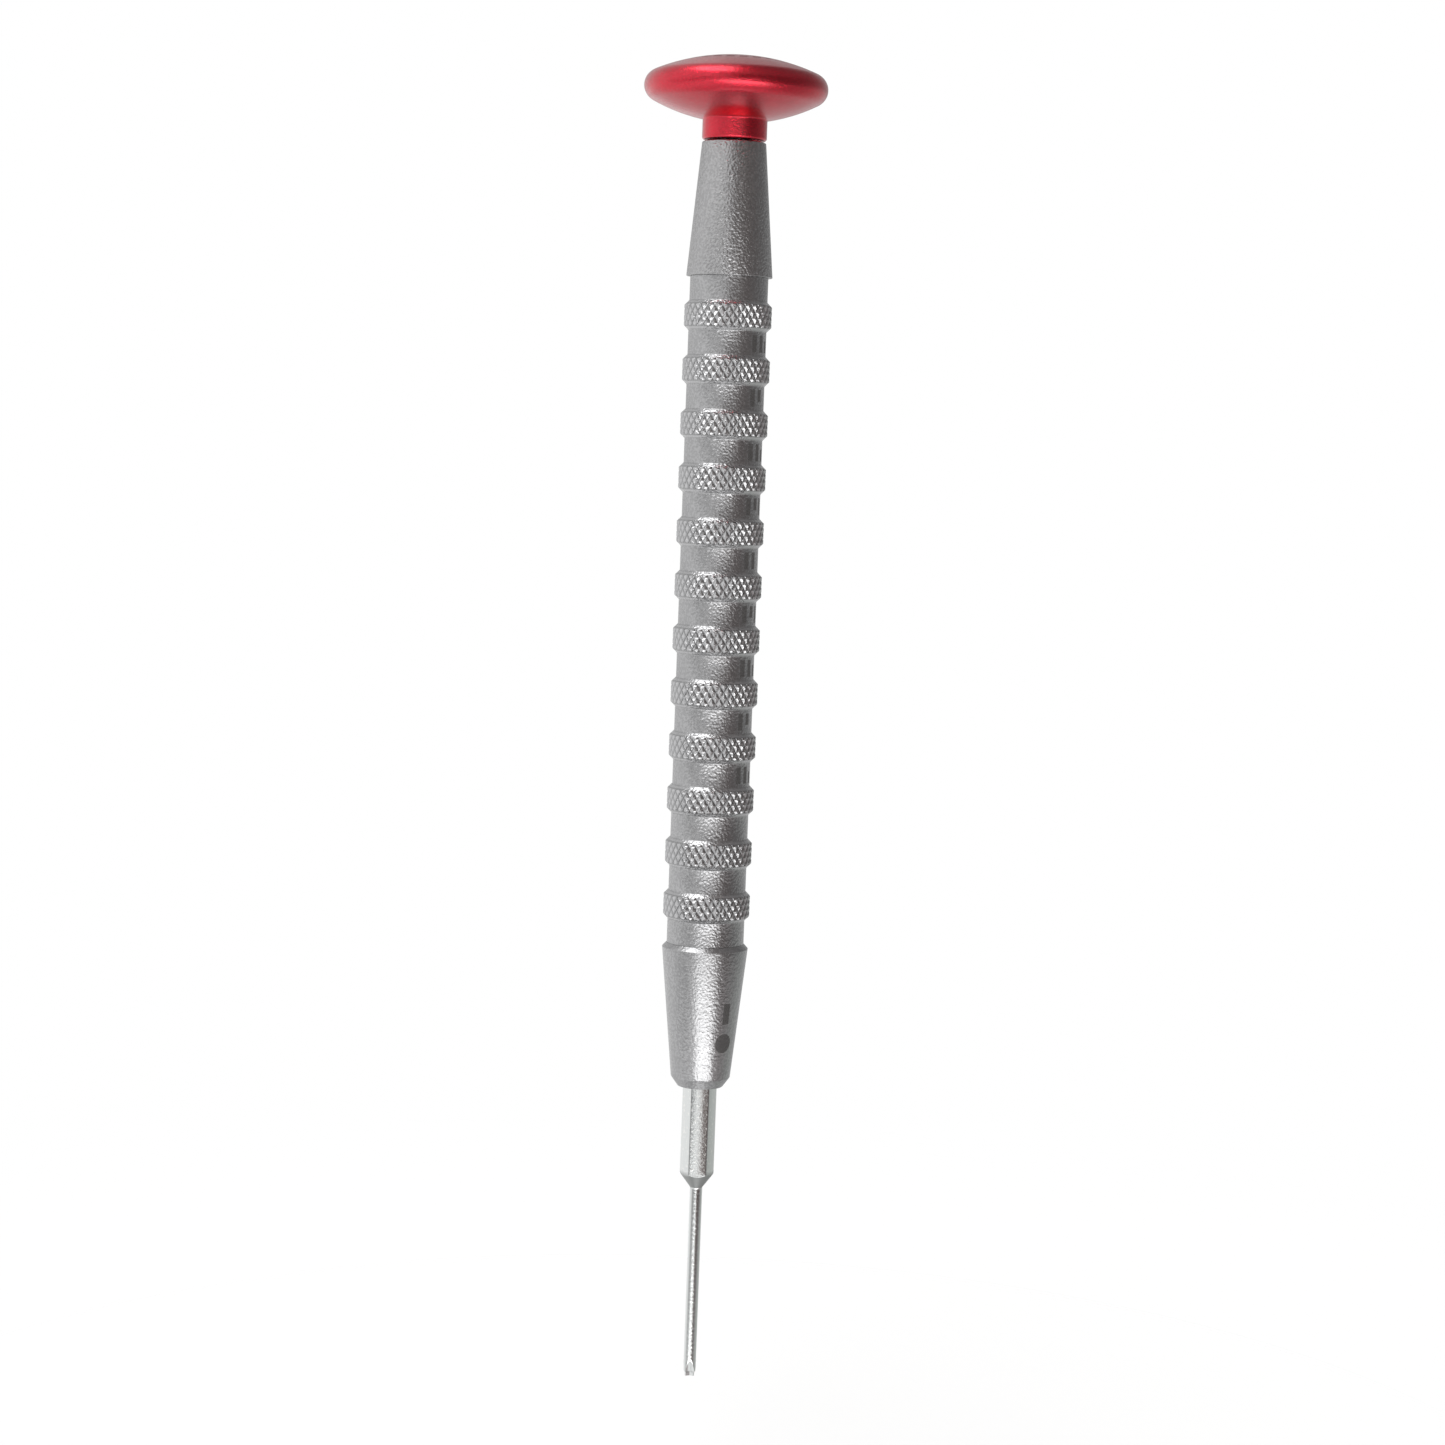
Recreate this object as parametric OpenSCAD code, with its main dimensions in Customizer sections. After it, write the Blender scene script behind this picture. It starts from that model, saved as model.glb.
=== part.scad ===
// Precision screwdriver with a free-turning finger cap, standing on its tip.
// Millimetres. The handle's axis is Z, the tip is at the origin and the cap is at the top.

/* [Blade] */
// Diameter of the thin round shaft
shaft_d = 1.4; // [1.2:0.1:1.8]
// Height at which the shaft starts to widen into the shank
shaft_top = 21.9; // [16:0.1:24]
// Width of the hexagonal shank across its flats
shank_af = 3.5; // [3.2:0.1:3.6]
// Length of the whole blade, from tip to the end inside the nose
blade_len = 45; // [44:0.5:46]

/* [Handle] */
// Height of the nose's front face above the tip
nose_z = 33.6; // [32:0.1:36]
// Length of the nose cone that shows
nose_len = 16.4; // [15:0.1:18]
// Diameter at the back of the nose cone
nose_d = 9.7; // [9.2:0.05:9.7]
// Diameter of the plain grooves between the bands
groove_d = 8.7; // [8.4:0.05:8.8]
// Diameter over the knurled bands
band_d = 9.75; // [9.5:0.05:10.5]
// Number of bands
bands = 12; // [8:1:12]
// Distance from one band to the next
band_pitch = 6; // [5.6:0.1:6.4]
// Length of a band at its foot
band_len = 3.3; // [2.8:0.1:3.6]
// Diameter of the tail's skirt
skirt_d = 9.6; // [9.2:0.05:9.7]
// Diameter at the back of the tail
tail_d = 7.1; // [7:0.05:7.4]
// Length of the tail cone that shows
tail_len = 14.8; // [13:0.1:16]

/* [Finger cap] */
// Diameter of the finger cap
cap_d = 20.4; // [18:0.1:22]
// Radius of the cap's rounded rim
cap_rim_r = 1.73; // [1.5:0.01:1.9]
// Rise of the dome above the rim's middle
dome_rise = 3.5; // [3.2:0.1:3.8]
// Drop of the underside below the rim's middle, at the axis
under_drop = 3.8; // [3.7:0.05:3.9]
// Height of the rim's middle above the neck's lower edge
rim_rise = 5.8; // [5.7:0.05:6]
// Diameter of the neck under the cap
neck_d = 7.2; // [7.1:0.05:7.4]
// Gap between the turning neck and the tail
cap_gap = 0.2; // [0.15:0.05:0.3]

/* [Hidden] */
$fn = 96;
eps = 0.01;

// Tip: three wings that stand below the end of the shaft, and the leaning flutes ground between them
wing_h = 0.5;
wing_r = 0.56;
wing_t = 0.2;
flute_r = 0.75;
flute_out = 1.05;
flute_lean = 18;

// Shank: its front corners are turned off by the same cone that meets the shaft
shank_slope = 0.75;
shank_corner_r = shank_af / sqrt(3);
shank_back_cut = 0.35;

// Socket in the nose
socket_gap = 0.03;
socket_af = shank_af + 2 * socket_gap;
magnet_d = 3;
magnet_len = 2;
magnet_gap = 0.02;
magnet_z = blade_len + magnet_gap;

// Handle joints: each end of the barrel takes a threaded spigot
joint_d = 6;
joint_gap = 0.02;
joint_len = 8;
joint_relief = 0.5;
barrel_bore_d = 5;
nose_face_d = 5.1;
nose_nib_d = 6.7;
nose_nib_h = 1.1;
band_chamfer = (band_d - groove_d) / 2;
barrel_z = nose_z + nose_len;
groove_len = band_pitch - band_len;
barrel_len = bands * band_pitch + groove_len;
tail_z = barrel_z + barrel_len;
tail_top = tail_z + tail_len;

// Bearing: 3 mm bore, 6 mm outside, 2.5 mm wide, shielded
balls = 7;
bore_r = 1.5;
ring_r = 3;
bearing_w = 2.5;
inner_land_r = 1.95;
outer_land_r = 2.55;
pitch_r = 2.25;
ball_r = 0.5;
race_r = 0.52;
pocket_r = 0.54;
seat_r = 2.7;
shield_t = 0.15;
shield_recess = 0.1;
bearing_recess = 0.5;
shim_t = 0.2;
neck_z = tail_top + cap_gap;
bearing_z = neck_z + bearing_recess;
bearing_mid = bearing_z + bearing_w / 2;
bearing_top = bearing_z + bearing_w;
boss_r = 1.9;
boss_h = bearing_z - shim_t - tail_top;

// Cap screw, M3 with a low head
screw_r = 1.48;
screw_hole_r = 1.5;
screw_len = 10;
screw_head_h = 1.1;
screw_key_af = 1.5;
screw_hole_z = bearing_top - screw_len - 0.8;

// Finger cap
cap_r = cap_d / 2;
rim_z = neck_z + rim_rise;
rim_x = cap_r - cap_rim_r;
neck_chamfer = 0.18;
head_room_r = 2.4;
head_room_h = 1.7;

// Radius of the arc that rises by h at the axis and runs tangent into the rim
function arc_r(h) = (h * h + rim_x * rim_x - cap_rim_r * cap_rim_r) / (2 * (h - cap_rim_r));

dome_r = arc_r(dome_rise);
under_r = arc_r(under_drop);

// A ring between two radii and two heights
module ring(r0, r1, z0, z1) {
    translate([0, 0, z0])
        difference() {
            cylinder(r = r1, h = z1 - z0);
            translate([0, 0, -eps]) cylinder(r = r0, h = z1 - z0 + 2 * eps);
        }
}

// A hexagonal bar with a flat towards -Y
module hex_bar(af, z0, z1) {
    translate([0, 0, z0]) cylinder(r = af / sqrt(3), h = z1 - z0, $fn = 6);
}

module blade() {
    cone_r = shank_corner_r + 0.2;
    cone_top = shaft_top + (cone_r - shaft_d / 2) / shank_slope;
    color("gainsboro") {
        intersection() {
            hex_bar(shank_af, shaft_top, blade_len);
            rotate_extrude() polygon([
                [0, shaft_top],
                [shaft_d / 2, shaft_top],
                [cone_r, cone_top],
                [cone_r, blade_len - shank_back_cut],
                [shank_corner_r - shank_back_cut, blade_len],
                [0, blade_len]
            ]);
        }
        difference() {
            translate([0, 0, wing_h]) cylinder(d = shaft_d, h = shaft_top - wing_h + eps);
            for (a = [0 : 120 : 240])
                rotate([0, 0, a + 30])
                    translate([flute_out, 0, wing_h])
                        rotate([0, flute_lean, 0])
                            translate([0, 0, -1]) cylinder(r = flute_r, h = 3.5);
        }
        for (a = [0 : 120 : 240])
            rotate([0, 0, a + 90])
                translate([0, -wing_t / 2, 0])
                    cube([wing_r, wing_t, wing_h + eps]);
    }
}

module nose_cone() {
    color("silver")
        difference() {
            union() {
                rotate_extrude() polygon([
                    [0, nose_z],
                    [nose_face_d / 2, nose_z],
                    [nose_nib_d / 2, nose_z + nose_nib_h],
                    [nose_d / 2, barrel_z - band_chamfer],
                    [groove_d / 2, barrel_z],
                    [0, barrel_z]
                ]);
                translate([0, 0, barrel_z - eps])
                    cylinder(d = joint_d - 2 * joint_gap, h = joint_len + eps);
            }
            hex_bar(socket_af, nose_z - eps, magnet_z);
            translate([0, 0, magnet_z - eps])
                cylinder(d = magnet_d + 2 * socket_gap, h = magnet_len + 0.1 + eps);
        }
}

module socket_magnet() {
    color("lightsteelblue")
        translate([0, 0, magnet_z]) cylinder(d = magnet_d, h = magnet_len);
}

// One band: a straight land with a chamfer at each end
module band(z) {
    rotate_extrude() polygon([
        [joint_d / 2 + 0.5, z],
        [groove_d / 2, z],
        [band_d / 2, z + band_chamfer],
        [band_d / 2, z + band_len - band_chamfer],
        [groove_d / 2, z + band_len],
        [joint_d / 2 + 0.5, z + band_len]
    ]);
}

module grip_barrel() {
    socket_len = joint_len + joint_relief;
    color("darkgray")
        difference() {
            union() {
                translate([0, 0, barrel_z]) cylinder(d = groove_d, h = barrel_len);
                for (i = [0 : bands - 1])
                    band(barrel_z + groove_len + i * band_pitch);
            }
            translate([0, 0, barrel_z - eps])
                cylinder(d = barrel_bore_d, h = barrel_len + 2 * eps);
            for (z = [barrel_z - eps, tail_z - socket_len])
                translate([0, 0, z]) cylinder(d = joint_d, h = socket_len + eps);
        }
}

module tail_cone() {
    color("gray")
        difference() {
            union() {
                translate([0, 0, tail_z - joint_len])
                    cylinder(d = joint_d - 2 * joint_gap, h = joint_len + eps);
                translate([0, 0, tail_z])
                    cylinder(d1 = skirt_d, d2 = tail_d, h = tail_len);
                translate([0, 0, tail_top - eps]) cylinder(r = boss_r, h = boss_h + eps);
            }
            translate([0, 0, screw_hole_z])
                cylinder(r = screw_hole_r, h = bearing_z - screw_hole_z);
        }
}

module bearing_shim() {
    color("goldenrod") ring(screw_hole_r, boss_r, bearing_z - shim_t, bearing_z);
}

module bearing_inner_ring() {
    color("lightgray")
        rotate_extrude() difference() {
            translate([bore_r, bearing_z]) square([inner_land_r - bore_r, bearing_w]);
            translate([pitch_r, bearing_mid]) circle(r = race_r);
        }
}

module bearing_outer_ring() {
    seat_h = shield_t + shield_recess;
    seat_w = seat_r - outer_land_r + eps;
    color("lightgray")
        rotate_extrude() difference() {
            translate([outer_land_r, bearing_z])
                square([ring_r - outer_land_r, bearing_w]);
            translate([pitch_r, bearing_mid]) circle(r = race_r);
            for (z = [bearing_z - eps, bearing_top - seat_h])
                translate([outer_land_r - eps, z]) square([seat_w, seat_h + eps]);
        }
}

// Dust shield, seated in the outer ring and clear of the inner one
module shield(z) {
    ring(inner_land_r + 0.1, seat_r, z, z + shield_t);
}

module bearing_lower_shield() {
    color("whitesmoke") shield(bearing_z + shield_recess);
}

module bearing_upper_shield() {
    color("whitesmoke") shield(bearing_top - shield_recess - shield_t);
}

module at_ball(i) {
    rotate([0, 0, i * 360 / balls])
        translate([pitch_r, 0, bearing_mid])
            children();
}

// Crown cage: a ring whose fingers close around each ball
module bearing_cage() {
    color("ivory")
        difference() {
            ring(inner_land_r + 0.08, outer_land_r - 0.08, bearing_mid - 0.85, bearing_mid + 0.25);
            for (i = [0 : balls - 1]) at_ball(i) sphere(r = pocket_r);
        }
}

module bearing_ball(i) {
    color("white") at_ball(i) sphere(r = ball_r);
}

module cap_screw() {
    color("dimgray")
        difference() {
            union() {
                translate([0, 0, bearing_top - screw_len])
                    cylinder(r = screw_r, h = screw_len + eps);
                translate([0, 0, bearing_top])
                    cylinder(r = inner_land_r, h = screw_head_h);
            }
            hex_bar(screw_key_af, bearing_top + 0.1, bearing_top + screw_head_h + eps);
        }
}

// Half of the lens, drawn from two large arcs that run into the small arc of the rim
module lens_profile() {
    dome_z = rim_z + dome_rise - dome_r;
    under_z = rim_z - under_drop + under_r;
    top_a = atan2(rim_z - dome_z, rim_x);
    low_a = atan2(rim_z - under_z, rim_x);
    reach = cap_rim_r + 2;
    top_out = [rim_x + reach * cos(top_a), rim_z + reach * sin(top_a)];
    low_out = [rim_x + reach * cos(low_a), rim_z + reach * sin(low_a)];
    intersection() {
        translate([0, dome_z]) circle(r = dome_r, $fn = 360);
        translate([0, under_z]) circle(r = under_r, $fn = 360);
        polygon([
            [0, rim_z - under_drop - 1],
            low_out,
            [rim_x, rim_z],
            top_out,
            [0, rim_z + dome_rise + 1]
        ]);
    }
    intersection() {
        translate([rim_x, rim_z]) circle(r = cap_rim_r);
        polygon([
            [rim_x, rim_z],
            low_out,
            [cap_r + 1, rim_z],
            top_out
        ]);
    }
}

module finger_cap() {
    color("crimson")
        difference() {
            union() {
                rotate_extrude() lens_profile();
                translate([0, 0, neck_z + neck_chamfer])
                    cylinder(d = neck_d, h = rim_rise - neck_chamfer);
                translate([0, 0, neck_z])
                    cylinder(
                        d1 = neck_d - 2 * neck_chamfer, d2 = neck_d,
                        h = neck_chamfer
                    );
            }
            translate([0, 0, neck_z - eps]) cylinder(r = ring_r, h = bearing_top - neck_z + eps);
            translate([0, 0, neck_z])
                cylinder(r = head_room_r, h = bearing_top + head_room_h - neck_z);
        }
}

blade();
nose_cone();
socket_magnet();
grip_barrel();
tail_cone();
bearing_shim();
bearing_inner_ring();
bearing_cage();
for (i = [1 : balls])
    bearing_ball(i - 1);
bearing_outer_ring();
bearing_lower_shield();
bearing_upper_shield();
cap_screw();
finger_cap();
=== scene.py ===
from math import acos, atan, atan2, cos, degrees, hypot, pi, radians, sin, sqrt, tan

import bmesh
import bpy
from mathutils import Matrix, Vector


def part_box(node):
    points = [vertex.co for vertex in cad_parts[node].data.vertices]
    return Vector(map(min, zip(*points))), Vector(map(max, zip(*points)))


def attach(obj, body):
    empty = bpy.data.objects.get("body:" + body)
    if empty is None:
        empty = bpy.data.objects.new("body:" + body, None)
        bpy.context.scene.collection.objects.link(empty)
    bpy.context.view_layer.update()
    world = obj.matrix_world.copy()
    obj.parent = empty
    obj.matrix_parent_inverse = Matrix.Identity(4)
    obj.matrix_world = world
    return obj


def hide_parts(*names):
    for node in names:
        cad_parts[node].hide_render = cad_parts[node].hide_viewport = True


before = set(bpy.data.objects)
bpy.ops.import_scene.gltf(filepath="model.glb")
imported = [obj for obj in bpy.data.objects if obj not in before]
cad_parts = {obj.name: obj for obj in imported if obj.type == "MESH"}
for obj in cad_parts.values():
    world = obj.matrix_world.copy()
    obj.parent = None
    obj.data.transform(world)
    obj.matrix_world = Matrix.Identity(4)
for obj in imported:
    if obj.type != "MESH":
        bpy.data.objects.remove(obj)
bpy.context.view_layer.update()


# Blade. One piece of hardened tool steel: a drawn 3.5 mm hexagonal bar, turned down to a thin round
# shaft, with three flutes and three wings ground at the tip, then bright plated. It is pushed into the
# nose by hand, and the magnet at the bottom of the socket holds it.
mm = 0.001


def skin(name, rows, turns, loop=False, crease=30):
    """A closed skin through rings of points around the axis, in millimetres. A row is (radius, height),
    either of which may be a function of the angle. A radius of 0 is a single point."""
    points, rings = [], []
    for radius, height in rows:
        if not callable(radius) and radius == 0:
            points.append((0, 0, height * mm))
            rings.append([len(points) - 1] * len(turns))
            continue
        ring = []
        for a in turns:
            r = radius(a) if callable(radius) else radius
            z = height(a) if callable(height) else height
            ring.append(len(points))
            points.append((r * mm * cos(radians(a)), r * mm * sin(radians(a)), z * mm))
        rings.append(ring)
    faces = []
    pairs = list(zip(rings, rings[1:])) + ([(rings[-1], rings[0])] if loop else [])
    for low, high in pairs:
        for i in range(len(turns)):
            j = (i + 1) % len(turns)
            corners = []
            for v in (low[i], low[j], high[j], high[i]):
                if v not in corners:
                    corners.append(v)
            if len(corners) > 2:
                faces.append(corners)
    mesh = bpy.data.meshes.new(name)
    mesh.from_pydata(points, [], faces)
    face_out(mesh)
    mesh.shade_smooth()
    mesh.set_sharp_from_angle(angle=radians(crease))
    piece = bpy.data.objects.new(name, mesh)
    bpy.context.scene.collection.objects.link(piece)
    return piece


def face_out(mesh, merge=0.0):
    """Turns a closed mesh's faces outwards, after merging the points that meet."""
    bm = bmesh.new()
    bm.from_mesh(mesh)
    if merge:
        bmesh.ops.remove_doubles(bm, verts=bm.verts, dist=merge)
    bmesh.ops.recalc_face_normals(bm, faces=bm.faces)
    bm.to_mesh(mesh)
    bm.free()


def even(count):
    """Angles of a full turn in equal steps, in degrees."""
    return [360 * i / count for i in range(count)]


def hexagon(flats, corner, crown=0.0):
    """Radius of a hexagonal bar at each angle, with a flat towards -Y and its corners rounded. A drawn
    bar's flats are crowned: they fall by the crown towards the corners."""
    half = flats / 2
    middle = (half - corner) / cos(radians(30))
    reach = 30 - degrees(atan((half - corner) * tan(radians(30)) / half))

    def radius(a):
        off = (a + 30) % 60 - 30
        if abs(off) < reach:
            p = radians(off)
            r = middle * cos(p) + sqrt(corner * corner - (middle * sin(p)) ** 2)
        else:
            r = half / cos(radians(30 - abs(off)))
        return r - crown * ((30 - abs(off)) / 30) ** 2.5

    return radius


def hexagon_turns(count):
    """Even angles, with more of them at the six corners."""
    extra = [60 * k + d for k in range(6) for d in (-5, -3.2, -2.2, -1.1, 1.1, 2.2, 3.2, 5)]
    return sorted({round((a + 360) % 360, 3) for a in even(count) + extra})


shaft_r, shaft_top, cone_top, blade_len = 0.7, 21.9, 23.3, 45.0
shank_slope = 0.75
shank = hexagon(3.5, 0.24, 0.07)
wing_h, wing_r, wing_t = 0.5, 0.56, 0.2
flute_r, flute_out, flute_lean = 0.75, 1.05, radians(18)


def wing(a):
    """Radius of the three thin wings below the shaft's end."""
    off = radians(abs((a - 90 + 60) % 120 - 60))
    return min(wing_r / cos(off), wing_t / 2 / max(sin(off), 1e-6))


def flute(z):
    """Radius of the shaft where the three flutes are ground in, at height z."""
    middle = flute_out + (z - wing_h) * tan(flute_lean)
    k = cos(flute_lean) ** 2

    def radius(a):
        off = radians((a - 30 + 60) % 120 - 60)
        c, s = cos(off), sin(off)
        qa, qb, qc = c * c * k + s * s, -2 * c * middle * k, middle * middle * k - flute_r ** 2
        inside = qb * qb - 4 * qa * qc
        if inside <= 0:
            return shaft_r
        return min(shaft_r, (-qb - sqrt(inside)) / (2 * qa))

    return radius


def smaller(radius, by):
    return lambda a: radius(a) - by


def meet(a, k=1.0):
    """Height at which the turned cone reaches the hexagon."""
    return shaft_top + k * (shank(a) - shaft_r) / shank_slope


def up_cone(k):
    return (lambda a: shaft_r + k * (shank(a) - shaft_r), lambda a: meet(a, k))


blade_rows = [(0, 0), (smaller(wing, 0.02), 0), (wing, 0.03), (wing, wing_h)]
blade_rows += [(smaller(flute(wing_h), 0.03), wing_h), (flute(0.53), 0.53)]
blade_rows += [(flute(0.6 + 0.08 * i), 0.6 + 0.08 * i) for i in range(17)]
blade_rows += [(shaft_r, z) for z in (2.0, 6.0, 10.0, 14.0, 18.0, 21.7, 21.85)]
blade_rows += [(shaft_r + 0.012, shaft_top), (shaft_r + 0.05, shaft_top + 0.06)]
blade_rows += [up_cone(k) for k in (0.15, 0.35, 0.6, 0.85, 0.95)]
blade_rows += [(smaller(shank, 0.012), lambda a: meet(a) - 0.005)]
blade_rows += [(shank, lambda a: meet(a) + 0.04), (shank, lambda a: meet(a) + 0.1)]
blade_rows += [(shank, z) for z in (26.0, 30.0, 34.0, 38.0, 42.0)]
blade_rows += [(shank, lambda a: blade_len - 0.35 + (2.2207 - shank(a)) * 0.35 / 0.55)]
blade_rows += [(1.671, blade_len), (0, blade_len)]
wing_turns = [90 + 120 * k + d for k in range(3) for d in (-10.12, -5, -2, 2, 5, 10.12)]
blade_turns = hexagon_turns(96) + wing_turns
blade_turns = sorted({round(a % 360, 3) for a in blade_turns})
blade = skin("blade_plated", blade_rows, blade_turns)


def put(tree, kind, sockets=None, **settings):
    """Adds a node. Settings are its own properties, and sockets are numbers, colours or other outputs."""
    made = tree.nodes.new(kind)
    for key, value in settings.items():
        setattr(made, key, value)
    for key, value in (sockets or {}).items():
        socket = made.inputs[key]
        if isinstance(value, bpy.types.NodeSocket):
            tree.links.new(value, socket)
        else:
            socket.default_value = value
    return made


def sums(tree, operation, a, b=0.0):
    return put(tree, "ShaderNodeMath", {0: a, 1: b}, operation=operation).outputs[0]


def spread(tree, value, low, high, to_low=0.0, to_high=1.0):
    """Maps a value from one range to another, kept inside it."""
    made = put(tree, "ShaderNodeMapRange", {0: value, 1: low, 2: high, 3: to_low, 4: to_high})
    made.clamp = True
    return made.outputs[0]


def blend_colour(tree, factor, a, b):
    made = put(tree, "ShaderNodeMix", data_type="RGBA")
    for socket, value in ((made.inputs[0], factor), (made.inputs[6], a), (made.inputs[7], b)):
        if isinstance(value, bpy.types.NodeSocket):
            tree.links.new(value, socket)
        else:
            socket.default_value = value
    return made.outputs[2]


def new_group(name, takes, gives):
    """A shader node group with named inputs and outputs: takes is {name: number or None for a vector}."""
    tree = bpy.data.node_groups.new(name, "ShaderNodeTree")
    for label, value in takes.items():
        kind = "NodeSocketVector" if value is None else "NodeSocketFloat"
        socket = tree.interface.new_socket(label, in_out="INPUT", socket_type=kind)
        if value is not None:
            socket.default_value = value
    for label, kind in gives.items():
        tree.interface.new_socket(label, in_out="OUTPUT", socket_type=kind)
    return tree, tree.nodes.new("NodeGroupInput").outputs, tree.nodes.new("NodeGroupOutput").inputs


def use_group(tree, group, **sockets):
    made = tree.nodes.new("ShaderNodeGroup")
    made.node_tree = group
    for key, value in sockets.items():
        socket = made.inputs[key.replace("_", " ")]
        if isinstance(value, bpy.types.NodeSocket):
            tree.links.new(value, socket)
        else:
            socket.default_value = value
    return made.outputs


def metal(name, colour, roughness, **more):
    """A metal with its Principled shader, its place on the object and its height above the tip."""
    made = bpy.data.materials.new(name)
    made.use_nodes = True
    tree = made.node_tree
    shader = tree.nodes["Principled BSDF"]
    shader.inputs["Base Color"].default_value = (*colour, 1)
    shader.inputs["Metallic"].default_value = 1.0
    shader.inputs["Roughness"].default_value = roughness
    for key, value in more.items():
        shader.inputs[key.replace("_", " ")].default_value = value
    place = put(tree, "ShaderNodeTexCoord").outputs["Object"]
    split = put(tree, "ShaderNodeSeparateXYZ", {0: place}).outputs
    return made, tree, shader, place, split


# Fine lines left by drawing, turning and handling: long and thin along the axis, at two sizes.
drawn_lines, taken, given = new_group(
    "drawn lines",
    {"Place": None, "Fineness": 9000.0, "Stretch": 0.12, "Depth": 0.00002, "Strength": 0.4},
    {"Lines": "NodeSocketFloat", "Nicks": "NodeSocketFloat", "Normal": "NodeSocketVector"},
)
squeeze = put(drawn_lines, "ShaderNodeCombineXYZ", {0: 1.0, 1: 1.0, 2: taken["Stretch"]}).outputs[0]
along = put(drawn_lines, "ShaderNodeVectorMath", {0: taken["Place"], 1: squeeze}, operation="MULTIPLY")
line_noise = put(drawn_lines, "ShaderNodeTexNoise",
                 {"Vector": along.outputs[0], "Scale": taken["Fineness"], "Detail": 3.0})
coarse = sums(drawn_lines, "MULTIPLY", taken["Fineness"], 0.35)
nick_noise = put(drawn_lines, "ShaderNodeTexNoise",
                 {"Vector": taken["Place"], "Scale": coarse, "Detail": 4.0})
drawn_lines.links.new(spread(drawn_lines, line_noise.outputs[0], 0.35, 0.65), given["Lines"])
drawn_lines.links.new(spread(drawn_lines, nick_noise.outputs[0], 0.56, 0.68), given["Nicks"])
nicks = sums(drawn_lines, "MULTIPLY", nick_noise.outputs[0], 0.8)
both = sums(drawn_lines, "ADD", line_noise.outputs[0], nicks)
raised = put(drawn_lines, "ShaderNodeBump",
             {"Strength": taken["Strength"], "Distance": taken["Depth"], "Height": both})
drawn_lines.links.new(raised.outputs[0], given["Normal"])

blade_plate, tree, shader, place, split = metal("bright plate", (0.74, 0.755, 0.75), 0.16)
lines = use_group(tree, drawn_lines, Place=place, Fineness=8000.0, Stretch=0.5, Depth=0.00002,
                  Strength=0.45)
cone_low = spread(tree, split[2], (shaft_top - 0.1) * mm, (shaft_top + 0.05) * mm)
cone_high = spread(tree, split[2], cone_top * mm, (cone_top + 0.6) * mm, 1.0, 0.0)
on_cone = sums(tree, "MULTIPLY", cone_low, cone_high)
shank_zone = spread(tree, split[2], (cone_top - 0.1) * mm, (cone_top + 0.1) * mm)
worn = sums(tree, "MULTIPLY", lines["Nicks"], shank_zone)
rough = sums(tree, "ADD", sums(tree, "MULTIPLY", lines["Lines"], 0.05), 0.07)
rough = sums(tree, "ADD", rough, sums(tree, "MULTIPLY", worn, 0.1))
rough = sums(tree, "ADD", rough, sums(tree, "MULTIPLY", on_cone, 0.25))
tree.links.new(rough, shader.inputs["Roughness"])
tone = blend_colour(tree, worn, (0.73, 0.745, 0.74, 1), (0.83, 0.83, 0.81, 1))
tone = blend_colour(tree, on_cone, tone, (0.36, 0.37, 0.365, 1))
tree.links.new(tone, shader.inputs["Base Color"])
tree.links.new(lines["Normal"], shader.inputs["Normal"])
blade.data.materials.append(blade_plate)
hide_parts("blade")
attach(blade, "blade")


# Socket magnet. A 3 x 2 mm disc of sintered neodymium, nickel plated, glued into the bottom of the
# nose's socket. The end of the shank rests on it.
def eased(points, steps=4):
    """A profile whose corners are rounded. A point is (radius, height) or (radius, height, rounding)."""
    made = []
    for i, point in enumerate(points):
        if len(point) == 2 or not point[2] or i in (0, len(points) - 1):
            made.append(point[:2])
            continue
        here, size = Vector(point[:2]), point[2]
        back = (Vector(points[i - 1][:2]) - here).normalized()
        on = (Vector(points[i + 1][:2]) - here).normalized()
        half = acos(max(-1, min(1, back.dot(on)))) / 2
        cut = size / tan(half)
        middle = here + (back + on).normalized() * (size / sin(half))
        start, end = here + back * cut - middle, here + on * cut - middle
        turn = atan2(start.x * end.y - start.y * end.x, start.dot(end))
        for k in range(steps + 1):
            arm = Matrix.Rotation(turn * k / steps, 2) @ start
            made.append(tuple(middle + arm))
    return made


magnet_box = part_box("socket_magnet")
magnet_low, magnet_high = magnet_box[0].z / mm, magnet_box[1].z / mm
magnet_r = 1.5
magnet = skin("socket_magnet_plated", eased([
    (0, magnet_low), (magnet_r, magnet_low, 0.12), (magnet_r, magnet_high, 0.12),
    (0, magnet_high)]), even(64))


def lined_metal(name, colour, dull, fineness, strength, stretch=1.0, depth=0.00001, nicked=None):
    """A metal with fine lines. Dull gives its roughness off and on the lines, and nicked is the colour
    of its worn places."""
    made, tree, shader, place, split = metal(name, colour, dull[0])
    lines = use_group(tree, drawn_lines, Place=place, Fineness=fineness, Stretch=stretch, Depth=depth,
                      Strength=strength)
    tree.links.new(spread(tree, lines["Lines"], 0, 1, *dull), shader.inputs["Roughness"])
    tree.links.new(lines["Normal"], shader.inputs["Normal"])
    if nicked:
        tone = blend_colour(tree, lines["Nicks"], (*colour, 1), (*nicked, 1))
        tree.links.new(tone, shader.inputs["Base Color"])
    return made


magnet_plate = lined_metal("nickel plate", (0.66, 0.63, 0.56), (0.16, 0.3), 5000.0, 0.2)
magnet.data.materials.append(magnet_plate)
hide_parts("socket_magnet")
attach(magnet, "handle")


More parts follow.
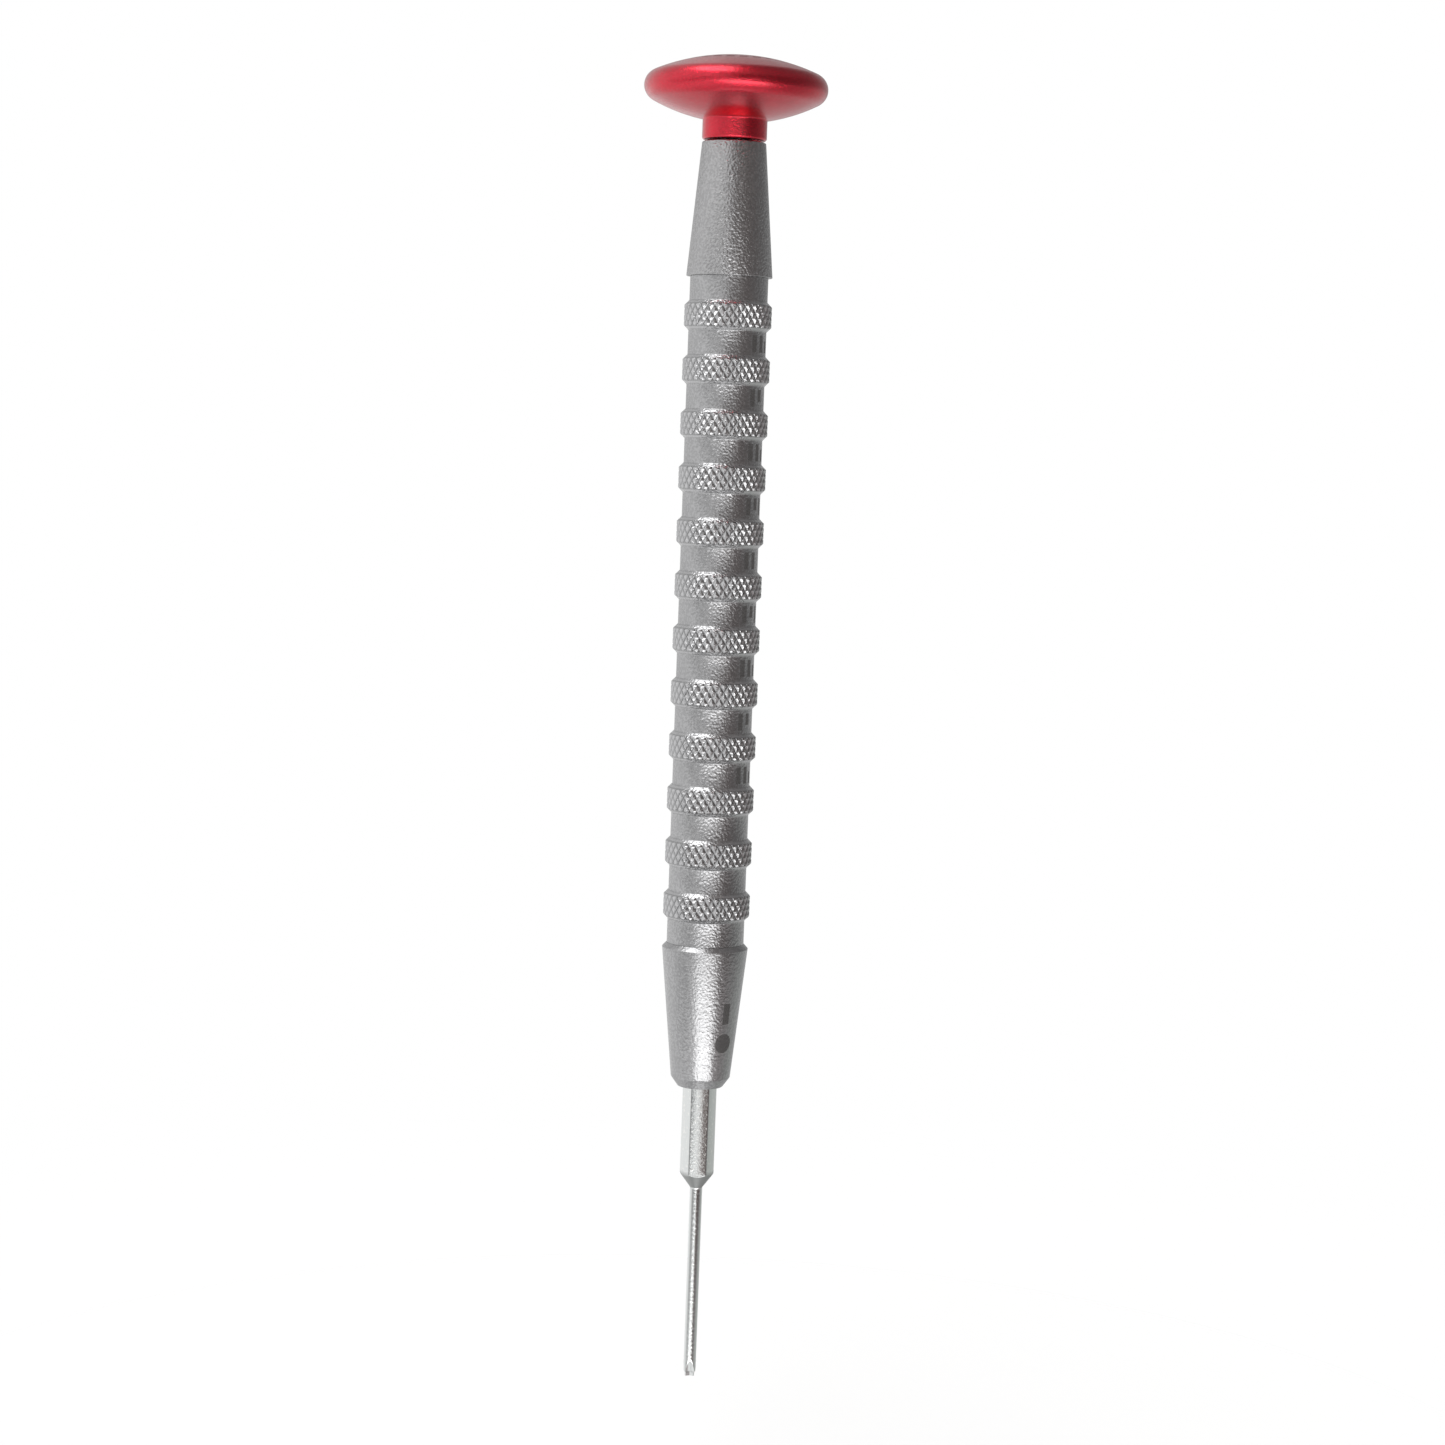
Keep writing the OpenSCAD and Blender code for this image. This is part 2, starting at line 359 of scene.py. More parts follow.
# Nose cone. Aluminium alloy turned from bar, with a chamfered front, a broached hexagonal socket and a
# spigot that screws into the barrel. Bead blasted, then clear anodised, with a laser mark on its side.
nose_z, nose_top = 33.6, 50.0
spigot_r, spigot_len = 2.97, 8.0
socket = hexagon(3.56, 0.1)
socket_end, magnet_seat = blade_len + 0.02, magnet_high + 0.1
nose_rows = [(0, magnet_seat), (magnet_r + 0.03, magnet_seat), (magnet_r + 0.03, socket_end),
             (socket, socket_end), (socket, nose_z + 0.12)]
nose_rows += [(lambda a: socket(a) + 0.06, nose_z + 0.03), (lambda a: socket(a) + 0.1, nose_z)]
nose_rows += eased([
    (2.25, nose_z), (2.55, nose_z, 0.14), (3.35, nose_z + 1.1, 0.3), (4.85, nose_top - 0.525, 0.05),
    (4.35, nose_top, 0.03), (3.04, nose_top), (spigot_r, nose_top + 0.1),
    (spigot_r, nose_top + spigot_len - 0.3), (2.7, nose_top + spigot_len), (0, nose_top + spigot_len)])
nose = skin("nose_cone_blasted", nose_rows, hexagon_turns(128), crease=28)

blast_grain, taken, given = new_group(
    "blast grain",
    {"Place": None, "Grain": 7000.0, "Depth": 0.00004, "Strength": 0.5},
    {"Speckle": "NodeSocketFloat", "Cloud": "NodeSocketFloat", "Normal": "NodeSocketVector"},
)
pits = put(blast_grain, "ShaderNodeTexNoise",
           {"Vector": taken["Place"], "Scale": taken["Grain"], "Detail": 0.5, "Roughness": 0.5})
dents = put(blast_grain, "ShaderNodeTexVoronoi",
            {"Vector": taken["Place"], "Scale": sums(blast_grain, "MULTIPLY", taken["Grain"], 1.3)},
            feature="SMOOTH_F1")
wide = sums(blast_grain, "MULTIPLY", taken["Grain"], 0.06)
cloud = put(blast_grain, "ShaderNodeTexNoise", {"Vector": taken["Place"], "Scale": wide, "Detail": 3.0})
surface = sums(blast_grain, "ADD", pits.outputs[0], sums(blast_grain, "MULTIPLY", dents.outputs[0], 0.5))
blasted = put(blast_grain, "ShaderNodeBump",
              {"Strength": taken["Strength"], "Distance": taken["Depth"], "Height": surface})
blast_grain.links.new(spread(blast_grain, pits.outputs[0], 0.4, 0.62), given["Speckle"])
blast_grain.links.new(spread(blast_grain, cloud.outputs[0], 0.35, 0.65), given["Cloud"])
blast_grain.links.new(blasted.outputs[0], given["Normal"])


def across_and_along(tree, split, angle):
    """Distances from the axis, first square to and then along a direction at an angle in degrees."""
    c, s = cos(radians(angle)), sin(radians(angle))
    across = sums(tree, "ADD", sums(tree, "MULTIPLY", split[0], -s), sums(tree, "MULTIPLY", split[1], c))
    facing = sums(tree, "ADD", sums(tree, "MULTIPLY", split[0], c), sums(tree, "MULTIPLY", split[1], s))
    return across, facing


def bar_beside(tree, split, angle, width, low, high):
    """Mask of a bar on the side of a turned piece: around an angle in degrees, width in millimetres
    across, between two heights in millimetres."""
    across, facing = across_and_along(tree, split, angle)
    mask = sums(tree, "LESS_THAN", sums(tree, "ABSOLUTE", across), width / 2 * mm)
    mask = sums(tree, "MULTIPLY", mask, sums(tree, "GREATER_THAN", facing, 0.0))
    mask = sums(tree, "MULTIPLY", mask, sums(tree, "GREATER_THAN", split[2], low * mm))
    return sums(tree, "MULTIPLY", mask, sums(tree, "LESS_THAN", split[2], high * mm))


def dot_beside(tree, split, angle, size, height):
    """Mask of a round dot on the side of a turned piece."""
    across, facing = across_and_along(tree, split, angle)
    up = sums(tree, "SUBTRACT", split[2], height * mm)
    squares = sums(tree, "ADD", sums(tree, "MULTIPLY", across, across), sums(tree, "MULTIPLY", up, up))
    inside = sums(tree, "LESS_THAN", sums(tree, "SQRT", squares), size / 2 * mm)
    return sums(tree, "MULTIPLY", inside, sums(tree, "GREATER_THAN", facing, 0.0))


def distance_out(tree, split):
    """Distance from the axis."""
    level = put(tree, "ShaderNodeCombineXYZ", {0: split[0], 1: split[1]}).outputs[0]
    return put(tree, "ShaderNodeVectorMath", {0: level}, operation="LENGTH").outputs["Value"]


def blasted_alloy(name, colour, depth, marks, knurled=None):
    """Blasted and clear anodised alloy, with pits of a depth in metres. Marks gives the mask of its laser
    marks. Knurled gives two radii in millimetres: past the first the metal is brighter, and the second is
    the bottom of the knurl's strokes, which are darkened with painted shade and a little dirt."""
    made, tree, shader, place, split = metal(name, colour, 0.3)
    proud = painted_shade_and_dirt = 0.0
    if knurled:
        bright, bottom = knurled
        out = distance_out(tree, split)
        proud = spread(tree, out, bright * mm, (bright + 0.1) * mm)
        # Painted shade and a little dirt: the colour darkens towards the bottoms of the knurl's strokes.
        painted_shade_and_dirt = sums(tree, "MULTIPLY", spread(tree, out, (bottom - 0.06) * mm, bottom * mm),
                    spread(tree, out, (bottom + 0.01) * mm, (bottom + 0.12) * mm, 0.45, 0.0))
    grain = use_group(tree, blast_grain, Place=place, Grain=3700.0, Depth=depth,
                      Strength=sums(tree, "ADD", 1.0, sums(tree, "MULTIPLY", proud, 0.2)))
    dark = tuple(c * 0.9 for c in colour)
    light = tuple(min(1, c * 1.08) for c in colour)
    tone = blend_colour(tree, grain["Speckle"], (*dark, 1), (*light, 1))
    tone = blend_colour(tree, sums(tree, "MULTIPLY", grain["Cloud"], 0.2), tone, (*dark, 1))
    tone = blend_colour(tree, proud, tone, (*(c * 1.28 for c in colour), 1))
    # Paints shade, with a little dirt, into the bottoms of the knurl's strokes.
    tone = blend_colour(tree, painted_shade_and_dirt, tone, (0.06, 0.06, 0.06, 1))
    rough = spread(tree, grain["Cloud"], 0, 1, 0.25, 0.29)
    rough = sums(tree, "SUBTRACT", rough, sums(tree, "MULTIPLY", proud, 0.1))
    if marks:
        mask = sums(tree, "MULTIPLY", marks(tree, split), 0.8)
        tone = blend_colour(tree, mask, tone, (0.06, 0.055, 0.052, 1))
        rough = sums(tree, "ADD", rough, sums(tree, "MULTIPLY", mask, 0.25))
        bare = sums(tree, "SUBTRACT", 1.0, sums(tree, "MULTIPLY", mask, 0.7))
        tree.links.new(bare, shader.inputs["Metallic"])
    tree.links.new(tone, shader.inputs["Base Color"])
    tree.links.new(rough, shader.inputs["Roughness"])
    tree.links.new(grain["Normal"], shader.inputs["Normal"])
    return made


def nose_marks(tree, split):
    bar = bar_beside(tree, split, -52, 0.9, 41.2, 43.6)
    return sums(tree, "MAXIMUM", bar, dot_beside(tree, split, -52, 2.2, 39.0))


nose.data.materials.append(blasted_alloy("blasted alloy, nose", (0.42, 0.42, 0.425), 0.00003, nose_marks))
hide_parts("nose_cone")
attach(nose, "handle")


# Grip barrel. Aluminium tube, knurled over its whole length by two crossed wheels, then turned down
# between the bands so that twelve chamfered bands stand proud. Blasted and clear anodised.
bands, band_pitch, band_len, band_r, groove_r = 12, 6.0, 3.3, 4.875, 4.35
strokes = 34
stroke_rise = band_pitch / 4.5
stroke_depth = 0.15
stroke_half = 0.33
band_slope = 0.525
columns = 4


def band_profile(z):
    """Radius of the turned band at height z above its foot, before the knurl."""
    z = min(z, band_len - z)
    if z <= -0.06:
        return groove_r
    if z <= 0.05:
        return groove_r + (z + 0.06) ** 2 / 0.22
    return min(band_r, groove_r + z)


def knurl(u, z):
    """Radius of the knurled surface: u counts strokes around, z is in millimetres."""
    w = z / stroke_rise
    cut = 0
    for d in (u - w, u + w):
        near = abs(d - round(d))
        cut = max(cut, stroke_depth * (1 - near / stroke_half))
    return band_r - cut


def split_by(faces, value):
    """Splits flat faces along the line where value(u, z) is 0. The value is linear over each face."""
    made = []
    for face in faces:
        signs = [value(*p) for p in face]
        if max(signs) < 1e-9 or min(signs) > -1e-9:
            made.append(face)
            continue
        low, high = [], []
        for i, p in enumerate(face):
            q, a, b = face[(i + 1) % len(face)], signs[i], signs[(i + 1) % len(face)]
            if a <= 1e-9:
                low.append(p)
            if a >= -1e-9:
                high.append(p)
            if (a < -1e-9 and b > 1e-9) or (a > 1e-9 and b < -1e-9):
                t = a / (a - b)
                both = (p[0] + t * (q[0] - p[0]), p[1] + t * (q[1] - p[1]))
                low.append(both)
                high.append(both)
        made += [f for f in (low, high) if len(f) > 2]
    return made


def line(a, b, c):
    return lambda u, z: a * u + b * z - c


def band_tile():
    """One stroke's width of a band and the groove above it, as faces in (u, z)."""
    knurl_low = band_r - stroke_depth - groove_r - 0.001
    heights = [-0.06, -0.025, 0.01, 0.05, knurl_low, band_len - knurl_low, band_len - 0.05,
               band_len - 0.01, band_len + 0.025, band_len + 0.06, band_pitch - 0.06]
    faces = []
    for low, high in zip(heights, heights[1:]):
        for k in range(columns):
            a, b = k / columns, (k + 1) / columns
            cell = [[(a, low), (b, low), (b, high), (a, high)]]
            if low == knurl_low:
                for z in (band_slope, band_len - band_slope):
                    cell = split_by(cell, line(0, 1, z))
                for i in range(1, 8):
                    cell = split_by(cell, line(0, 1, i * stroke_rise / 2))
                for i in range(-4, 6):
                    for offset in (-stroke_half, 0, stroke_half):
                        cell = split_by(cell, line(1, -1 / stroke_rise, i + offset))
                        cell = split_by(cell, line(1, 1 / stroke_rise, i + offset))
                cell = split_by(cell, lambda u, z: knurl(u, z) - band_profile(z))
            faces += cell
    corners = sorted({(round(u, 6), round(z, 6)) for face in faces for u, z in face})
    whole = []
    for face in faces:
        full = []
        for i, p in enumerate(face):
            q = face[(i + 1) % len(face)]
            full.append(p)
            length = hypot(q[0] - p[0], q[1] - p[1])
            between = []
            for c in corners:
                t = ((c[0] - p[0]) * (q[0] - p[0]) + (c[1] - p[1]) * (q[1] - p[1])) / length ** 2
                away = abs((c[0] - p[0]) * (q[1] - p[1]) - (c[1] - p[1]) * (q[0] - p[0])) / length
                if away < 2e-5 and 1e-4 < t * length < length - 1e-4:
                    between.append((t, c))
            full += [c for t, c in sorted(between)]
        whole.append(full)
    return whole


def band_radius(u, z):
    turned = band_profile(z)
    if 0.05 < z < band_len - 0.05:
        return min(turned, knurl(u, z))
    return turned


tile_faces, tile_points, tile_index = [], [], {}
for face in band_tile():
    corners = []
    for u, z in face:
        key = (round(u, 5), round(z, 5))
        if key not in tile_index:
            tile_index[key] = len(tile_points)
            r, a = band_radius(u, z) * mm, 2 * pi * u / strokes
            tile_points.append((r * cos(a), r * sin(a), z * mm))
        if tile_index[key] not in corners:
            corners.append(tile_index[key])
    if len(corners) > 2:
        tile_faces.append(corners)
tile_mesh = bpy.data.meshes.new("band_tile")
tile_mesh.from_pydata(tile_points, [], tile_faces)
tile = bpy.data.objects.new("band_tile", tile_mesh)
bpy.context.scene.collection.objects.link(tile)


def set_input(modifier, label, value):
    """Sets a modifier's input by its socket's identifier."""
    for item in modifier.node_group.interface.items_tree:
        if item.item_type == "SOCKET" and item.in_out == "INPUT" and item.name == label:
            modifier[item.identifier] = value


def settle(piece):
    """Makes a piece with a live modifier a plain mesh."""
    bpy.context.view_layer.update()
    done = piece.evaluated_get(bpy.context.evaluated_depsgraph_get())
    mesh = bpy.data.meshes.new_from_object(done)
    piece.modifiers.clear()
    piece.data = mesh
    return mesh


def new_maker(name, **takes):
    """A geometry node tree with its inputs and its output. Takes gives each input's kind of socket."""
    tree = bpy.data.node_groups.new(name, "GeometryNodeTree")
    for label, kind in {"Geometry": "Geometry", **takes, "Finish": "Material"}.items():
        tree.interface.new_socket(label.replace("_", " "), in_out="INPUT", socket_type="NodeSocket" + kind)
    tree.interface.new_socket("Geometry", in_out="OUTPUT", socket_type="NodeSocketGeometry")
    return tree, tree.nodes.new("NodeGroupInput").outputs, tree.nodes.new("NodeGroupOutput").inputs


band_rows, wanted, result = new_maker("knurled bands", Tile="Object", Strokes="Int", Bands="Int",
                                      First_band="Float", Band_pitch="Float", Turn_per_band="Float")
around = put(band_rows, "GeometryNodeMeshLine", {"Count": wanted["Strokes"], "Offset": (0, 0, 0)})
stroke_no = put(band_rows, "GeometryNodeInputIndex").outputs[0]
stroke_step = sums(band_rows, "DIVIDE", 2 * pi, wanted["Strokes"])
turn_to = put(band_rows, "ShaderNodeCombineXYZ", {2: sums(band_rows, "MULTIPLY", stroke_no, stroke_step)})
tile_in = put(band_rows, "GeometryNodeObjectInfo", {0: wanted["Tile"]}).outputs["Geometry"]
ring_of = put(band_rows, "GeometryNodeInstanceOnPoints",
              {"Points": around.outputs[0], "Instance": tile_in, "Rotation": turn_to.outputs[0]})
one_band = put(band_rows, "GeometryNodeRealizeInstances", {0: ring_of.outputs[0]})
first = put(band_rows, "ShaderNodeCombineXYZ", {2: wanted["First band"]}).outputs[0]
next_band = put(band_rows, "ShaderNodeCombineXYZ", {2: wanted["Band pitch"]}).outputs[0]
up = put(band_rows, "GeometryNodeMeshLine",
         {"Count": wanted["Bands"], "Start Location": first, "Offset": next_band})
band_no = put(band_rows, "GeometryNodeInputIndex").outputs[0]
band_angle = sums(band_rows, "MULTIPLY", band_no, wanted["Turn per band"])
band_turn = put(band_rows, "ShaderNodeCombineXYZ", {2: band_angle})
stack = put(band_rows, "GeometryNodeInstanceOnPoints",
            {"Points": up.outputs[0], "Instance": one_band.outputs[0], "Rotation": band_turn.outputs[0]})
joined = put(band_rows, "GeometryNodeJoinGeometry")
band_rows.links.new(stack.outputs[0], joined.inputs[0])
band_rows.links.new(wanted["Geometry"], joined.inputs[0])
realised = put(band_rows, "GeometryNodeRealizeInstances", {0: joined.outputs[0]})
weld_gap = 0.000002
welded = put(band_rows, "GeometryNodeMergeByDistance",
             {"Geometry": realised.outputs[0], "Distance": weld_gap})
finished = put(band_rows, "GeometryNodeSetMaterial",
               {"Geometry": welded.outputs[0], "Material": wanted["Finish"]})
band_rows.links.new(finished.outputs[0], result[0])

barrel_z, barrel_top = 50.0, 124.7
first_foot = barrel_z + 2.7
last_foot = first_foot + bands * band_pitch
grip_turns = even(strokes * columns)
grip = skin("grip_barrel_knurled", [
    (groove_r, first_foot - 0.06), (groove_r, barrel_z + 0.03), (groove_r - 0.03, barrel_z),
    (3.05, barrel_z), (3.0, barrel_z + 0.08), (3.0, barrel_z + 8.5), (2.5, barrel_z + 8.7),
    (2.5, barrel_top - 8.7), (3.0, barrel_top - 8.5), (3.0, barrel_top - 0.08), (3.05, barrel_top),
    (groove_r - 0.03, barrel_top), (groove_r, barrel_top - 0.03), (groove_r, last_foot - 0.06)],
    grip_turns)


def grip_marks(tree, split):
    """Plain bars in the grooves, one above the other, where a maker would put lettering."""
    mask = None
    for i in range(2, 11):
        foot = first_foot + i * band_pitch + band_len
        step = 0.6 * (i % 2)
        bars = ((-48, 0.7, 0.4, 2.3), (-32, 0.7, 0.4 + step, 2.3), (-17, 0.6, 0.4, 1.7 + step))
        for angle, width, low, high in bars[:2 + (i % 3 > 0)]:
            bar = bar_beside(tree, split, angle, width, foot + low, foot + high)
            mask = bar if mask is None else sums(tree, "MAXIMUM", mask, bar)
    return mask


grip_alloy = blasted_alloy("blasted alloy, grip", (0.42, 0.42, 0.425), 0.000045, grip_marks,
                           knurled=(groove_r + 0.07, band_r - stroke_depth))
modifier = grip.modifiers.new("bands", "NODES")
modifier.node_group = band_rows
set_input(modifier, "Tile", tile)
set_input(modifier, "Strokes", strokes)
set_input(modifier, "Bands", bands)
set_input(modifier, "First band", first_foot * mm)
set_input(modifier, "Band pitch", band_pitch * mm)
set_input(modifier, "Turn per band", pi / strokes)
set_input(modifier, "Finish", grip_alloy)
grip_mesh = settle(grip)
bpy.data.objects.remove(tile)
face_out(grip_mesh, merge=weld_gap)
grip_mesh.shade_smooth()
grip_mesh.set_sharp_from_angle(angle=radians(17))
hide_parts("grip_barrel")
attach(grip, "handle")


# Tail cone. Aluminium alloy turned from bar, with a square skirt that overhangs the barrel and a short
# boss on top that carries the bearing. A spigot below screws into the barrel, and an M3 hole above
# takes the cap screw.
tail_z, tail_top, boss_top = 124.7, 139.5, 140.0
tail = skin("tail_cone_blasted", eased([
    (0, tail_z - spigot_len), (2.7, tail_z - spigot_len), (spigot_r, tail_z - spigot_len + 0.3),
    (spigot_r, tail_z - 0.1), (3.04, tail_z),
    (4.8, tail_z, 0.07), (3.55, tail_top, 0.12), (1.9, tail_top, 0.08), (1.9, boss_top, 0.05),
    (1.5, boss_top), (1.5, 132.3), (0, 131.9)]), even(144))
tail.data.materials.append(blasted_alloy("blasted alloy, tail", (0.42, 0.418, 0.422), 0.00007, None))
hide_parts("tail_cone")
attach(tail, "handle")


# Bearing shim. A ring punched from 0.2 mm brass. It lifts the inner ring, so that the cap's neck turns
# just clear of the tail.
shim_top = 140.2
shim = skin("bearing_shim_brass", eased([
    (1.5, boss_top), (1.9, boss_top, 0.03), (1.9, shim_top, 0.03), (1.5, shim_top)]), even(64), loop=True)
shim_brass = lined_metal("rolled brass", (0.72, 0.52, 0.22), (0.22, 0.42), 4000.0, 0.25,
                         nicked=(0.5, 0.33, 0.14))
shim.data.materials.append(shim_brass)
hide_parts("bearing_shim")
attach(shim, "handle")


# Bearing rings. A 3 x 6 x 2.5 mm miniature ball bearing: two rings of hard chrome steel, ground all
# over, each with a round groove for the balls. The inner ring is clamped to the tail by the cap screw,
# and the outer ring is pressed into the cap's neck.
bearing_low, bearing_high = shim_top, 142.7
bearing_mid = (bearing_low + bearing_high) / 2
race_r, pitch_r = 0.52, 2.25


def race(side, edge, steps=10):
    """Points of the ball groove in a ring's face at radius edge: side is -1 inside, 1 outside."""
    half = atan2(sqrt(race_r ** 2 - (edge - pitch_r) ** 2), abs(edge - pitch_r))
    return [(pitch_r + side * race_r * cos(half * k / steps), bearing_mid + race_r * sin(half * k / steps))
            for k in range(-steps, steps + 1)]


inner_rows = eased([(1.5, bearing_low), (1.95, bearing_low, 0.04), (1.95, bearing_mid - 0.6)])
inner_rows += race(-1, 1.95)
inner_rows += eased([(1.95, bearing_mid + 0.6), (1.95, bearing_high, 0.04), (1.5, bearing_high, 0.04),
                     (1.5, 141.0)])
inner_ring = skin("bearing_inner_ring_ground", inner_rows, even(96), loop=True)
seat_low, seat_high = bearing_low + 0.25, bearing_high - 0.25
outer_rows = eased([
    (2.7, seat_low), (2.7, bearing_low), (3.0, bearing_low, 0.06), (3.0, bearing_high, 0.06),
    (2.7, bearing_high), (2.7, seat_high), (2.55, seat_high, 0.02), (2.55, bearing_mid + 0.6)])
outer_rows += race(1, 2.55)[::-1]
outer_rows += eased([(2.55, bearing_mid - 0.6), (2.55, seat_low, 0.02), (2.7, seat_low)])[:-1]
outer_ring = skin("bearing_outer_ring_ground", outer_rows, even(96), loop=True)
ground_steel = lined_metal("ground bearing steel", (0.62, 0.62, 0.63), (0.14, 0.3), 9000.0, 0.3,
                           stretch=6.0, depth=0.000008)
for ring, node_name, body in ((inner_ring, "bearing_inner_ring", "handle"),
                              (outer_ring, "bearing_outer_ring", "cap")):
    ring.data.materials.append(ground_steel)
    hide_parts(node_name)
    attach(ring, body)


# Bearing balls and cage. Seven 1 mm balls of polished chrome steel, kept apart by a crown cage moulded
# in natural nylon, whose fingers snap over them. They go round at 0.61 of the cap's speed.
balls, ball_r, pocket_r = 7, 0.5, 0.54
ball_steel, tree, shader, place, split = metal("polished ball steel", (0.74, 0.74, 0.75), 0.06)
smear = put(tree, "ShaderNodeTexNoise", {"Vector": place, "Scale": 2500.0, "Detail": 3.0})
tree.links.new(spread(tree, smear.outputs[0], 0.3, 0.7, 0.04, 0.12), shader.inputs["Roughness"])
for i in range(balls):
    turn = 2 * pi * i / balls
    centre = Vector((pitch_r * cos(turn), pitch_r * sin(turn), bearing_mid)) * mm
    ball_mesh = bpy.data.meshes.new(f"bearing_ball_{i + 1}_polished")
    bm = bmesh.new()
    bmesh.ops.create_uvsphere(bm, u_segments=32, v_segments=20, radius=ball_r * mm)
    bmesh.ops.translate(bm, verts=bm.verts, vec=centre)
    bm.to_mesh(ball_mesh)
    bm.free()
    ball_mesh.shade_smooth()
    ball = bpy.data.objects.new(f"bearing_ball_{i + 1}_polished", ball_mesh)
    bpy.context.scene.collection.objects.link(ball)
    ball.data.materials.append(ball_steel)
    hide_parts(f"bearing_ball_{i + 1}")
    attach(ball, "ball_set")

cage = skin("bearing_cage_nylon", eased([
    (2.03, bearing_mid - 0.85), (2.47, bearing_mid - 0.85, 0.04), (2.47, bearing_mid + 0.25, 0.04),
    (2.03, bearing_mid + 0.25, 0.04), (2.03, bearing_mid)]), even(140), loop=True)
nylon = bpy.data.materials.new("natural nylon")
nylon.use_nodes = True
tree = nylon.node_tree
shader = tree.nodes["Principled BSDF"]
shader.inputs["Subsurface Weight"].default_value = 0.15
shader.inputs["Subsurface Scale"].default_value = 0.0005
place = put(tree, "ShaderNodeTexCoord").outputs["Object"]
mottle = put(tree, "ShaderNodeTexNoise", {"Vector": place, "Scale": 3000.0, "Detail": 4.0})
tree.links.new(blend_colour(tree, mottle.outputs[0], (0.72, 0.67, 0.54, 1), (0.8, 0.77, 0.67, 1)),
               shader.inputs["Base Color"])
tree.links.new(spread(tree, mottle.outputs[0], 0.3, 0.7, 0.4, 0.55), shader.inputs["Roughness"])
pockets, wanted, result = new_maker("cage pockets", Balls="Int", Pitch_radius="Float",
                                    Pocket_radius="Float", Height="Float")
dots = put(pockets, "GeometryNodeMeshLine", {"Count": wanted["Balls"], "Offset": (0, 0, 0)})
dot_no = put(pockets, "GeometryNodeInputIndex").outputs[0]
dot_turn = sums(pockets, "MULTIPLY", dot_no, sums(pockets, "DIVIDE", 2 * pi, wanted["Balls"]))
dot_at = put(pockets, "ShaderNodeCombineXYZ", {
    0: sums(pockets, "MULTIPLY", wanted["Pitch radius"], sums(pockets, "COSINE", dot_turn)),
    1: sums(pockets, "MULTIPLY", wanted["Pitch radius"], sums(pockets, "SINE", dot_turn)),
    2: wanted["Height"]})
placed = put(pockets, "GeometryNodeSetPosition",
             {"Geometry": dots.outputs[0], "Position": dot_at.outputs[0]})
pocket = put(pockets, "GeometryNodeMeshUVSphere",
             {"Segments": 32, "Rings": 20, "Radius": wanted["Pocket radius"]})
pocket_set = put(pockets, "GeometryNodeInstanceOnPoints",
                 {"Points": placed.outputs[0], "Instance": pocket.outputs[0]})
pocket_real = put(pockets, "GeometryNodeRealizeInstances", {0: pocket_set.outputs[0]})
bored = put(pockets, "GeometryNodeMeshBoolean", operation="DIFFERENCE", solver="EXACT")
pockets.links.new(wanted["Geometry"], bored.inputs["Mesh 1"])
pockets.links.new(pocket_real.outputs[0], bored.inputs["Mesh 2"])
done_real = put(pockets, "GeometryNodeRealizeInstances", {0: bored.outputs[0]})
done = put(pockets, "GeometryNodeSetMaterial",
           {"Geometry": done_real.outputs[0], "Material": wanted["Finish"]})
pockets.links.new(done.outputs[0], result[0])
modifier = cage.modifiers.new("pockets", "NODES")
modifier.node_group = pockets
set_input(modifier, "Balls", balls)
set_input(modifier, "Pitch radius", pitch_r * mm)
set_input(modifier, "Pocket radius", pocket_r * mm)
set_input(modifier, "Height", bearing_mid * mm)
set_input(modifier, "Finish", nylon)
cage_mesh = settle(cage)
cage_mesh.shade_smooth()
cage_mesh.set_sharp_from_angle(angle=radians(30))
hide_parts("bearing_cage")
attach(cage, "ball_set")


# Bearing shields. Two rings pressed from 0.15 mm steel sheet, snapped into the outer ring to keep dust
# from the balls. They turn with the outer ring and stop just short of the inner one.
shield_steel = lined_metal("pressed steel", (0.66, 0.66, 0.66), (0.25, 0.42), 5000.0, 0.3)
for node_name, low in (("bearing_lower_shield", 140.3), ("bearing_upper_shield", 142.45)):
    shield = skin(node_name + "_pressed", eased([
        (2.05, low), (2.7, low, 0.03), (2.7, low + 0.15, 0.03), (2.05, low + 0.15, 0.05),
        (2.05, low + 0.05)]), even(96), loop=True)
    shield.data.materials.append(shield_steel)
    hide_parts(node_name)
    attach(shield, "cap")


# Cap screw. An M3 x 10 steel screw with a low head and a 1.5 mm hexagonal key, black oxide. It clamps
# the inner ring to the tail, under the dome of the cap.
key = hexagon(1.5, 0.05)
screw_end, head_top, thread_pitch = 132.7, 143.8, 0.5


def thread(z):
    """Radius of the thread at height z: a 0.5 mm pitch helix that fades out at both ends."""
    def radius(a):
        across = (z / thread_pitch - a / 360) % 1
        cut = 0.26 * (1 - abs(2 * across - 1) * 1.15)
        run = min(1, max(0, (z - screw_end) / 0.3), max(0, (141.0 - z) / 0.3))
        return 1.48 - max(0, min(0.26, cut)) * min(1, run) - max(0, 0.25 - (z - screw_end)) * 0.8
    return radius


thread_heights = [screw_end + thread_pitch / 8 * i for i in range(134)]
screw_rows = [(0, screw_end)] + [(thread(z), z) for z in thread_heights]
screw_rows += [(1.48, bearing_high - 0.02)]
screw_rows += eased([(1.5, bearing_high), (1.95, bearing_high, 0.05), (1.95, head_top, 0.16),
                     (1.15, head_top)])
screw_rows += [(lambda a: key(a) + 0.06, head_top), (key, head_top - 0.08), (key, 142.85), (0, 142.8)]
screw = skin("cap_screw_threaded", screw_rows, hexagon_turns(72))
black_oxide = lined_metal("black oxide steel", (0.12, 0.12, 0.13), (0.3, 0.48), 3500.0, 0.3,
                          depth=0.00002, nicked=(0.28, 0.27, 0.26))
screw.data.materials.append(black_oxide)
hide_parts("cap_screw")
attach(screw, "handle")


